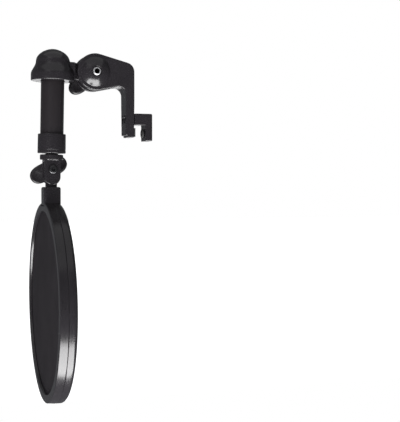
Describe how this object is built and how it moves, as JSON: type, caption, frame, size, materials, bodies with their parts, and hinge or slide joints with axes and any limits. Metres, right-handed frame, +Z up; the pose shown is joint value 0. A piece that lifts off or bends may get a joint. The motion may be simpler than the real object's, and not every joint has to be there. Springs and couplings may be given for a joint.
{
  "type": "microphone pop filter",
  "caption": "Round fabric pop filter hanging from a tilting elbow and drop tube, on a bracket whose saddle clip grips the ring of a microphone shock mount.",
  "frame": {"origin": "middle of the clip's seat, the ceiling of the saddle slot that rests on the ring's upper edge", "axes": "+Z up, hoop on the -X side, microphone on the +X side, pivots along Y with their knobs at +Y"},
  "size_m": [0.0916, 0.15, 0.2645],
  "materials": {
    "black_plastic": "black moulded plastic, fine satin texture, worn a little shinier on the edges",
    "knob_plastic": "black moulded plastic, slightly softer sheen",
    "painted_tube": "satin black paint on a metal tube",
    "filter_fabric": "black knitted nylon gauze, stretched flat",
    "rubber": "dull black rubber",
    "nylon": "dark nylon washer stock",
    "plated_steel": "bright plated steel, satin, a little dulled",
    "black_steel": "black oxide steel, bright where worn"
  },
  "bodies": {
    "bracket": {"bracket": "black_plastic", "saddle_jaw": "black_plastic", "jaw_screw_front": "black_steel", "jaw_screw_rear": "black_steel", "leg_pad": "rubber", "upper_pivot_bolt": "plated_steel", "upper_friction_washer_front": "nylon", "upper_friction_washer_rear": "nylon", "upper_washer": "black_steel"},
    "clamp": {"clamp_screw": "black_steel", "pressure_pad": "rubber"},
    "upper_knob": {"upper_wing_knob": "knob_plastic", "upper_nut_insert": "black_steel"},
    "drop_arm": {"elbow_cap": "black_plastic", "elbow_screw": "black_steel", "drop_tube": "painted_tube", "collar": "black_plastic"},
    "swivel": {"lower_fork": "black_plastic", "swivel_washer": "nylon", "swivel_retainer": "black_steel", "swivel_screw": "black_steel", "lower_pivot_bolt": "black_steel", "lower_friction_washer_front": "nylon", "lower_friction_washer_rear": "nylon", "lower_washer": "black_steel"},
    "lower_knob": {"lower_wing_knob": "knob_plastic", "lower_nut_insert": "black_steel"},
    "hoop": {"tongue": "black_plastic", "tongue_screw": "black_steel", "hoop_frame": "black_plastic", "hoop_front_ring": "black_plastic", "front_mesh": "filter_fabric", "rear_mesh": "filter_fabric", "mesh_spacer": "black_plastic"}
  },
  "joints": [
    {"name": "clamp_screw_travel", "type": "slide", "parent": "bracket", "child": "clamp", "axis": [1, 0, 0], "range_m": [-0.0035, 0]},
    {"name": "upper_knob_turn", "type": "hinge", "parent": "bracket", "child": "upper_knob", "pos_m": [-0.0345, 0, 0.0391], "axis": [0, 1, 0], "continuous": true},
    {"name": "upper_tilt", "type": "hinge", "parent": "bracket", "child": "drop_arm", "pos_m": [-0.0345, 0, 0.0391], "axis": [0, 1, 0], "range_deg": [-20, 90]},
    {"name": "fork_swivel", "type": "hinge", "parent": "drop_arm", "child": "swivel", "pos_m": [-0.0666, 0, -0.0231], "axis": [0.0192, 0, 0.9998], "continuous": true},
    {"name": "lower_knob_turn", "type": "hinge", "parent": "swivel", "child": "lower_knob", "pos_m": [-0.06681, 0, -0.03429], "axis": [0, 1, 0], "continuous": true},
    {"name": "lower_tilt", "type": "hinge", "parent": "swivel", "child": "hoop", "pos_m": [-0.06681, 0, -0.03429], "axis": [0, 1, 0], "range_deg": [-80, 80]}
  ]
}
